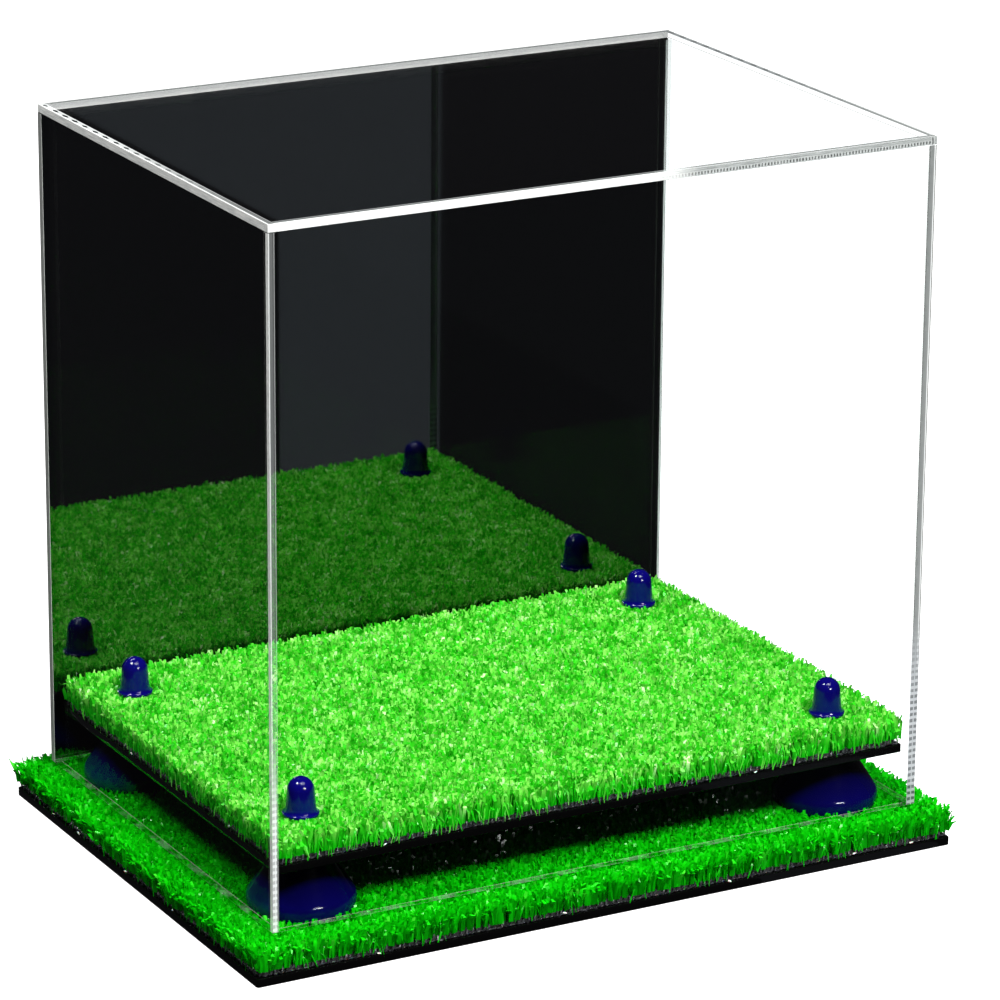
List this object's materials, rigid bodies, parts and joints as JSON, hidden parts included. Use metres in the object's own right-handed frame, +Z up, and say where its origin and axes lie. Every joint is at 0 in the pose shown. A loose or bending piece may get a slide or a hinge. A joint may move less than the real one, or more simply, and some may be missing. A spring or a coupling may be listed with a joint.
{
  "type": "football display case",
  "caption": "Clear lift-off box cover with a mirror back on a turf-covered base board, over a raised turf platform on bell-shaped feet with cap nuts.",
  "frame": {"origin": "middle of the base board's underside", "axes": "+X to the right along the front, +Y to the rear where the mirror is, +Z up"},
  "size_m": [0.288, 0.2084, 0.2718],
  "materials": {
    "clear_acrylic": "clear cast acrylic sheet, polished faces and sawn edges",
    "mirror_acrylic": "acrylic mirror sheet",
    "back_coat": "black paint on the mirror's back",
    "black_acrylic": "black acrylic sheet, gloss faces and sawn edges",
    "turf_glue": "hot-melt glue",
    "turf_backing": "black latex-coated tufted backing",
    "turf_pile": "short cut-pile artificial turf",
    "navy_plastic": "moulded gloss plastic",
    "zinc_steel": "zinc-plated machine screws"
  },
  "bodies": {
    "base": {"base_board": "black_acrylic", "base_turf_glue": "turf_glue", "base_turf_backing": "turf_backing", "base_turf_pile": "turf_pile"},
    "cover": {"cover_front_panel": "clear_acrylic", "cover_left_panel": "clear_acrylic", "cover_right_panel": "clear_acrylic", "cover_top_panel": "clear_acrylic", "cover_back_mirror": "mirror_acrylic", "mirror_back_coat": "back_coat"},
    "platform": {"platform_board": "black_acrylic", "platform_turf_glue": "turf_glue", "platform_turf_backing": "turf_backing", "platform_turf_pile": "turf_pile", "riser_foot_front_left": "navy_plastic", "riser_foot_front_right": "navy_plastic", "riser_foot_rear_left": "navy_plastic", "riser_foot_rear_right": "navy_plastic", "riser_screw_front_left": "zinc_steel", "riser_screw_front_right": "zinc_steel", "riser_screw_rear_left": "zinc_steel", "riser_screw_rear_right": "zinc_steel"},
    "cap_front_left": {"riser_cap_front_left": "navy_plastic"},
    "cap_front_right": {"riser_cap_front_right": "navy_plastic"},
    "cap_rear_left": {"riser_cap_rear_left": "navy_plastic"},
    "cap_rear_right": {"riser_cap_rear_right": "navy_plastic"}
  },
  "joints": [
    {"name": "cover_lift", "type": "slide", "parent": "base", "child": "cover", "axis": [0, 0, 1], "range_m": [0, 0.28]},
    {"name": "platform_lift", "type": "slide", "parent": "base", "child": "platform", "axis": [0, 0, 1], "range_m": [0, 0.15]},
    {"name": "cap_front_left_turn", "type": "hinge", "parent": "platform", "child": "cap_front_left", "pos_m": [-0.1097, -0.06995, 0.0469], "axis": [0, 0, 1], "continuous": true},
    {"name": "cap_front_right_turn", "type": "hinge", "parent": "platform", "child": "cap_front_right", "pos_m": [0.1097, -0.06995, 0.0469], "axis": [0, 0, 1], "continuous": true},
    {"name": "cap_rear_left_turn", "type": "hinge", "parent": "platform", "child": "cap_rear_left", "pos_m": [-0.1097, 0.06995, 0.0469], "axis": [0, 0, 1], "continuous": true},
    {"name": "cap_rear_right_turn", "type": "hinge", "parent": "platform", "child": "cap_rear_right", "pos_m": [0.1097, 0.06995, 0.0469], "axis": [0, 0, 1], "continuous": true}
  ]
}
